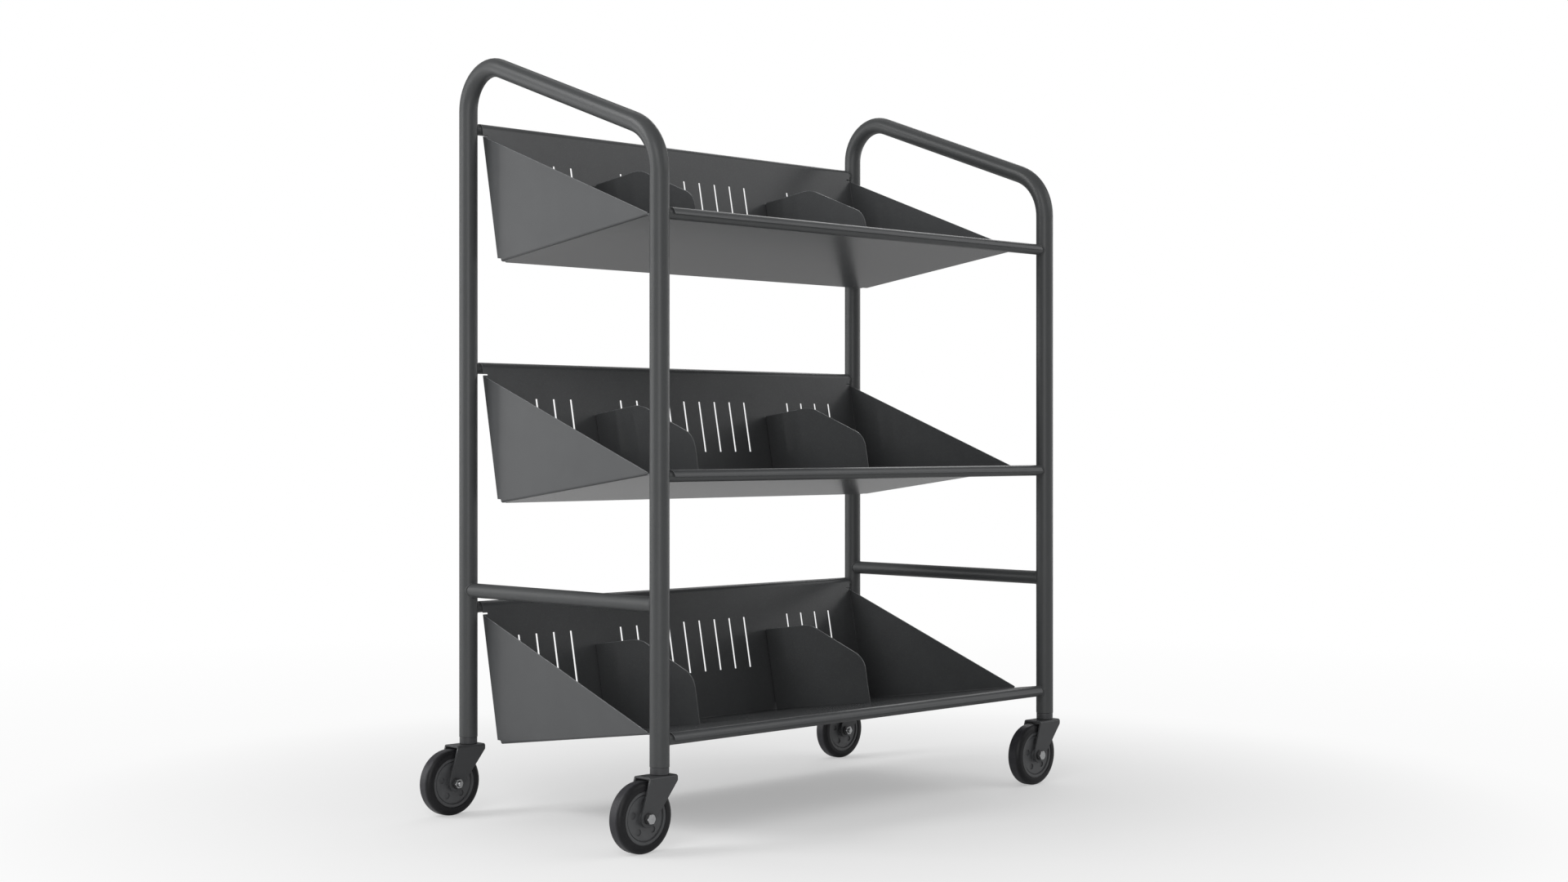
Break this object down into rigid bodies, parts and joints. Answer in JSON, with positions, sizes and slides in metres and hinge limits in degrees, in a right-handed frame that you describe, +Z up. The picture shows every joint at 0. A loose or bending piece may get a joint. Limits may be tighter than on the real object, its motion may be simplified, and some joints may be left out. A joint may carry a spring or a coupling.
{
  "type": "book cart",
  "caption": "Free-standing steel book cart: bent-tube side frames with sloping push handles, tilted open-front trays with upright dividers, and swivel casters.",
  "frame": {"origin": "on the floor, midway between the four posts' centre lines", "axes": "+X along the cart's length to the right, -Y towards the open front of the trays, +Z up"},
  "size_m": [0.9623, 0.4872, 1.1459],
  "materials": {
    "frame_coat": "fine satin powder coat, graphite grey",
    "sheet_coat": "fine satin powder coat, graphite grey",
    "caster_coat": "satin powder coat, dark grey",
    "hub_plastic": "moulded dark grey plastic",
    "tyre_rubber": "smooth black rubber",
    "zinc_steel": "zinc plated",
    "black_steel": "black zinc plate",
    "socket_plastic": "black nylon"
  },
  "bodies": {
    "root": {"left_side_frame": "frame_coat", "left_side_rail": "frame_coat", "right_side_frame": "frame_coat", "right_side_rail": "frame_coat", "top_front_rail": "frame_coat", "top_back_rail": "frame_coat", "top_tray": "sheet_coat", "top_left_divider": "sheet_coat", "top_right_divider": "sheet_coat", "middle_front_rail": "frame_coat", "middle_back_rail": "frame_coat", "middle_tray": "sheet_coat", "middle_left_divider": "sheet_coat", "middle_right_divider": "sheet_coat", "bottom_front_rail": "frame_coat", "bottom_back_rail": "frame_coat", "bottom_tray": "sheet_coat", "bottom_left_divider": "sheet_coat", "bottom_right_divider": "sheet_coat", "caster_sockets": "socket_plastic", "caster_stems": "caster_coat"},
    "front_left_caster": {"front_left_fork": "caster_coat", "front_left_bearing_cup": "caster_coat", "front_left_axle_bolt": "zinc_steel", "front_left_axle_nut": "zinc_steel", "front_left_axle_washers": "black_steel", "front_left_axle_sleeve": "zinc_steel"},
    "front_left_wheel": {"front_left_wheel_hub": "hub_plastic", "front_left_tyre": "tyre_rubber"},
    "front_right_caster": {"front_right_fork": "caster_coat", "front_right_bearing_cup": "caster_coat", "front_right_axle_bolt": "zinc_steel", "front_right_axle_nut": "zinc_steel", "front_right_axle_washers": "black_steel", "front_right_axle_sleeve": "zinc_steel"},
    "front_right_wheel": {"front_right_wheel_hub": "hub_plastic", "front_right_tyre": "tyre_rubber"},
    "back_left_caster": {"back_left_fork": "caster_coat", "back_left_bearing_cup": "caster_coat", "back_left_axle_bolt": "zinc_steel", "back_left_axle_nut": "zinc_steel", "back_left_axle_washers": "black_steel", "back_left_axle_sleeve": "zinc_steel"},
    "back_left_wheel": {"back_left_wheel_hub": "hub_plastic", "back_left_tyre": "tyre_rubber"},
    "back_right_caster": {"back_right_fork": "caster_coat", "back_right_bearing_cup": "caster_coat", "back_right_axle_bolt": "zinc_steel", "back_right_axle_nut": "zinc_steel", "back_right_axle_washers": "black_steel", "back_right_axle_sleeve": "zinc_steel"},
    "back_right_wheel": {"back_right_wheel_hub": "hub_plastic", "back_right_tyre": "tyre_rubber"}
  },
  "joints": [
    {"name": "front_left_swivel", "type": "hinge", "parent": "root", "child": "front_left_caster", "pos_m": [-0.429, -0.2195, 0.1052], "axis": [0, 0, 1], "continuous": true},
    {"name": "front_left_roll", "type": "hinge", "parent": "front_left_caster", "child": "front_left_wheel", "pos_m": [-0.4643, -0.2195, 0.05], "axis": [0, 1, 0], "continuous": true},
    {"name": "front_right_swivel", "type": "hinge", "parent": "root", "child": "front_right_caster", "pos_m": [0.429, -0.2195, 0.1052], "axis": [0, 0, 1], "continuous": true},
    {"name": "front_right_roll", "type": "hinge", "parent": "front_right_caster", "child": "front_right_wheel", "pos_m": [0.3937, -0.2195, 0.05], "axis": [0, 1, 0], "continuous": true},
    {"name": "back_left_swivel", "type": "hinge", "parent": "root", "child": "back_left_caster", "pos_m": [-0.429, 0.2195, 0.1052], "axis": [0, 0, 1], "continuous": true},
    {"name": "back_left_roll", "type": "hinge", "parent": "back_left_caster", "child": "back_left_wheel", "pos_m": [-0.4643, 0.2195, 0.05], "axis": [0, 1, 0], "continuous": true},
    {"name": "back_right_swivel", "type": "hinge", "parent": "root", "child": "back_right_caster", "pos_m": [0.429, 0.2195, 0.1052], "axis": [0, 0, 1], "continuous": true},
    {"name": "back_right_roll", "type": "hinge", "parent": "back_right_caster", "child": "back_right_wheel", "pos_m": [0.3937, 0.2195, 0.05], "axis": [0, 1, 0], "continuous": true}
  ]
}
